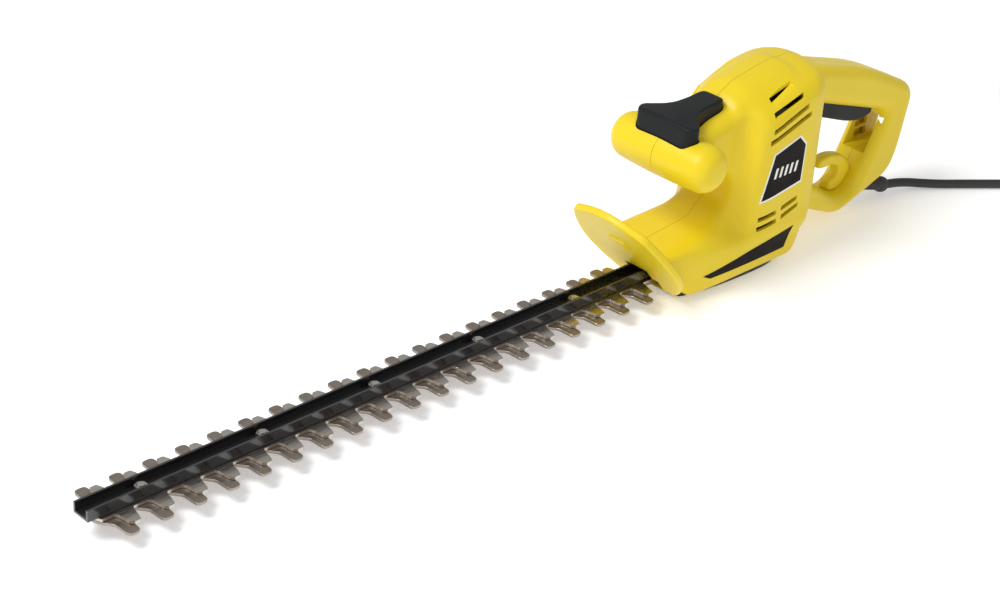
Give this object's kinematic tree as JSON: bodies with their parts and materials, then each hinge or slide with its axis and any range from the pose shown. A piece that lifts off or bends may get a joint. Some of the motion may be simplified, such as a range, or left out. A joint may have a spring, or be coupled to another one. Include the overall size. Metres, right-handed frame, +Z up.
{
  "type": "hedge trimmer",
  "caption": "Corded electric hedge trimmer with double-sided reciprocating blades, a hand guard, a front bar with a lever switch and a looped rear handle with a trigger.",
  "frame": {"origin": "on the sole's bottom face, straight below the drive gear's axis", "axes": "-X along the blade towards its tip, +Z up, and the housing halves part on Y = 0"},
  "size_m": [1.0195, 0.1423, 0.1496],
  "materials": {
    "yellow_shell": "satin",
    "black_plastic": "satin",
    "soft_black": "matte",
    "blade_steel": "satin",
    "black_steel": "gloss",
    "zinc_plate": "satin",
    "machined_steel": "satin",
    "cast_aluminium": "matte",
    "copper_winding": "satin",
    "carbon": "matte",
    "film_box": "gloss",
    "spring_wire": "satin",
    "cord_rubber": "matte"
  },
  "bodies": {
    "housing": {"left_housing": "yellow_shell", "right_housing": "yellow_shell", "hand_guard": "yellow_shell", "sole_plate": "black_plastic", "blade_channel": "black_steel", "gear_axle": "machined_steel", "gear_plate": "cast_aluminium", "motor_stator": "machined_steel", "brush_carrier": "black_plastic", "front_brush": "carbon", "rear_brush": "carbon", "lower_bearing": "machined_steel", "upper_bearing": "machined_steel", "rear_switch": "black_plastic", "front_switch": "black_plastic", "capacitor": "film_box", "cord_hook": "yellow_shell", "trigger_spring": "spring_wire", "lever_spring": "spring_wire", "strain_relief": "cord_rubber", "cord": "cord_rubber", "plug": "cord_rubber", "blade_bolt_1": "zinc_plate", "blade_bolt_2": "zinc_plate", "blade_bolt_3": "zinc_plate", "blade_bolt_4": "zinc_plate", "blade_bolt_5": "zinc_plate", "blade_nut_1": "zinc_plate", "blade_nut_2": "zinc_plate", "blade_nut_3": "zinc_plate", "blade_nut_4": "zinc_plate", "blade_nut_5": "zinc_plate", "housing_screw_1": "zinc_plate", "housing_screw_2": "zinc_plate", "housing_screw_3": "zinc_plate", "housing_screw_4": "zinc_plate", "housing_screw_5": "zinc_plate", "housing_screw_6": "zinc_plate", "housing_screw_7": "zinc_plate", "housing_screw_8": "zinc_plate", "sole_screw_1": "zinc_plate", "sole_screw_2": "zinc_plate", "sole_screw_3": "zinc_plate", "sole_screw_4": "zinc_plate"},
    "gear": {"drive_gear": "machined_steel"},
    "rotor": {"pinion": "machined_steel", "rotor_shaft": "machined_steel", "cooling_fan": "black_plastic", "armature": "copper_winding", "commutator": "copper_winding"},
    "upper_cutter": {"upper_blade": "blade_steel"},
    "lower_cutter": {"lower_blade": "blade_steel"},
    "trigger": {"trigger": "soft_black"},
    "front_lever": {"front_lever": "soft_black"}
  },
  "joints": [
    {"name": "gear_spin", "type": "hinge", "parent": "housing", "child": "gear", "pos_m": [0, 0, 0.033], "axis": [0, 0, 1], "continuous": true},
    {"name": "rotor_spin", "type": "hinge", "parent": "housing", "child": "rotor", "pos_m": [0.03687, 0, 0.08], "axis": [0, 0, 1], "continuous": true},
    {"name": "upper_blade_slide", "type": "slide", "parent": "housing", "child": "upper_cutter", "axis": [1, 0, 0], "range_m": [-0.0065, 0.0015]},
    {"name": "lower_blade_slide", "type": "slide", "parent": "housing", "child": "lower_cutter", "axis": [1, 0, 0], "range_m": [-0.0015, 0.0065]},
    {"name": "trigger_pull", "type": "hinge", "parent": "housing", "child": "trigger", "pos_m": [0.09, 0, 0.1135], "axis": [0, -1, 0], "range_deg": [0, 3.5], "stiffness_Nm_per_rad": 2.5, "springref_deg": -5.73, "deforming": ["trigger_spring"]},
    {"name": "front_lever_press", "type": "hinge", "parent": "housing", "child": "front_lever", "pos_m": [-0.024, 0, 0.123], "axis": [0, -1, 0], "range_deg": [0, 2], "stiffness_Nm_per_rad": 2.5, "springref_deg": -5.73, "deforming": ["lever_spring"]}
  ],
  "couplings": [
    {"joint": "rotor_spin", "follows": "gear_spin", "ratio": -5.5556},
    {"joint": "lower_blade_slide", "follows": "upper_blade_slide", "ratio": -1}
  ]
}
